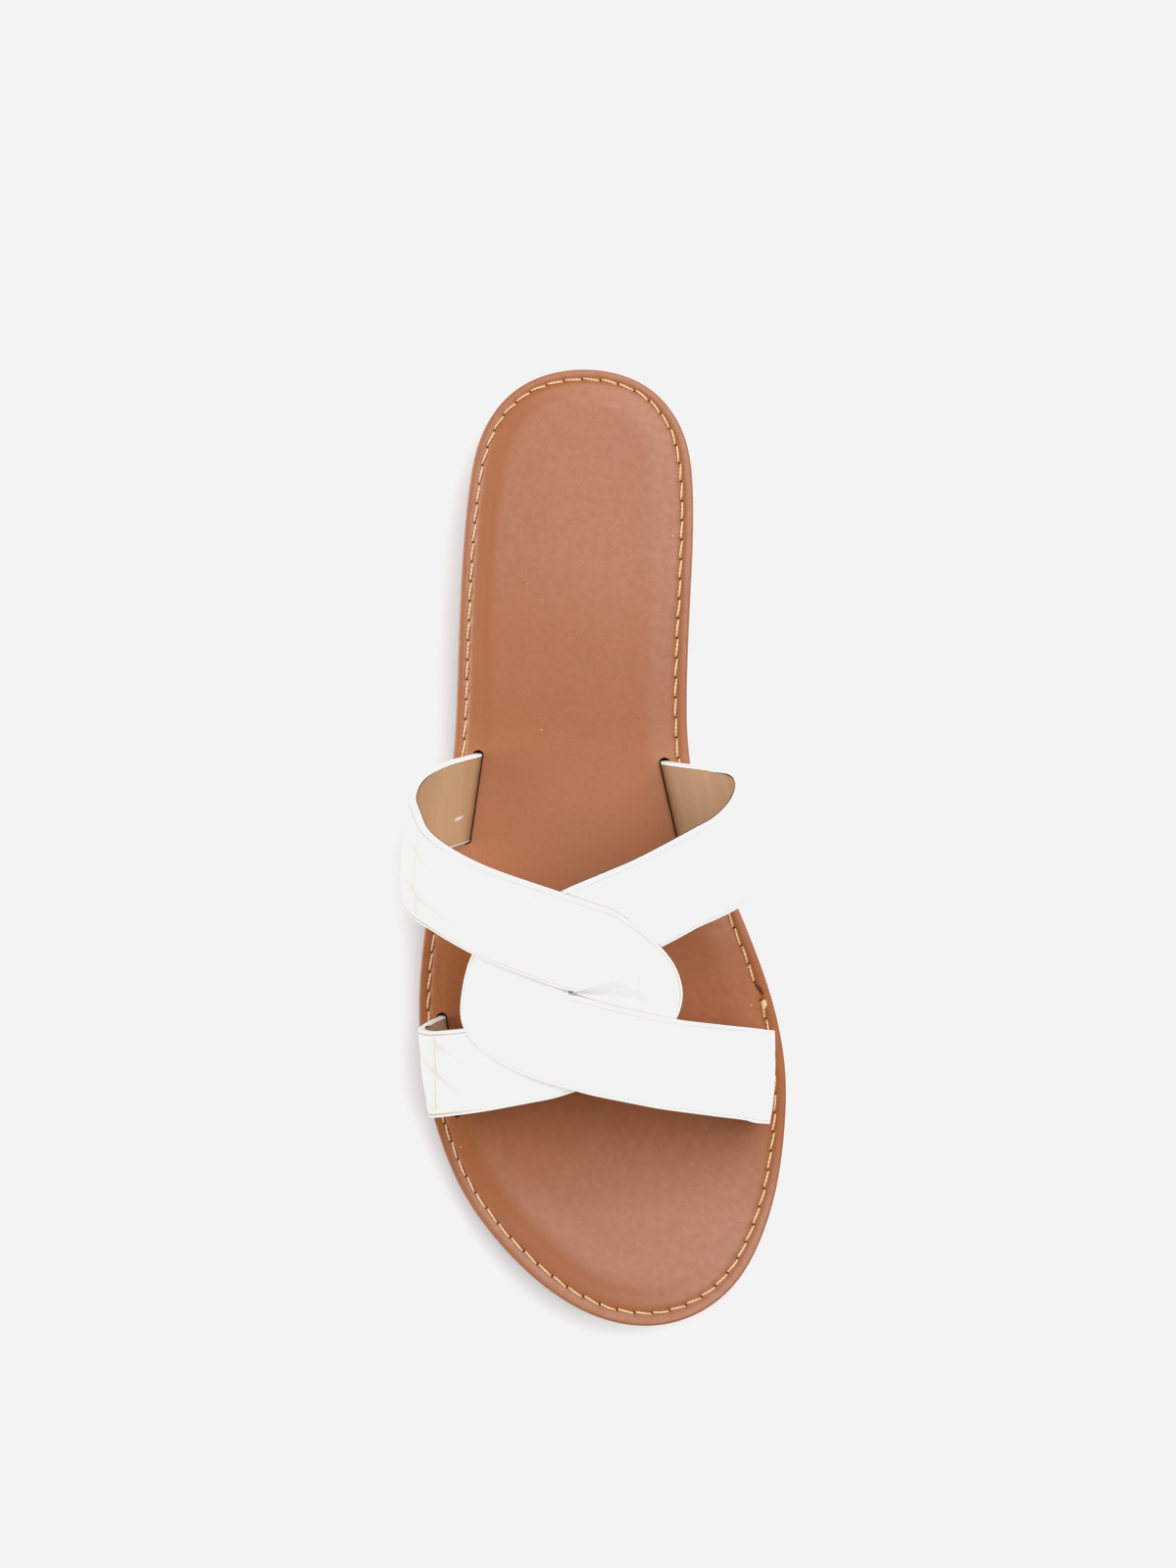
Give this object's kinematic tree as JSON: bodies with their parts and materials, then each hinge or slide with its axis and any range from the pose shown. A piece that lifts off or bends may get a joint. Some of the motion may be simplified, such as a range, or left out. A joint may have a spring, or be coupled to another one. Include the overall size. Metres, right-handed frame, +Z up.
{
  "type": "cross strap sandal",
  "caption": "Flat open slide sandal with two wide straps linked through each other over a padded, stitched footbed and a low-heeled outsole.",
  "frame": {"origin": "on the ground under the middle of the sandal's box", "axes": "+Z up, +Y towards the heel, -Y towards the toe, +X towards the medial side of this right shoe"},
  "size_m": [0.0996, 0.248, 0.068],
  "materials": {
    "outsole": "matt moulded rubber",
    "footbed": "smooth satin tan leather over a soft pad, stitched round its edge",
    "upper": "glossy white leather pressed with large reptile scales, tan lining, painted edges"
  },
  "bodies": {
    "root": {"outsole": "outsole", "footbed": "footbed", "upper": "upper"}
  },
  "joints": []
}
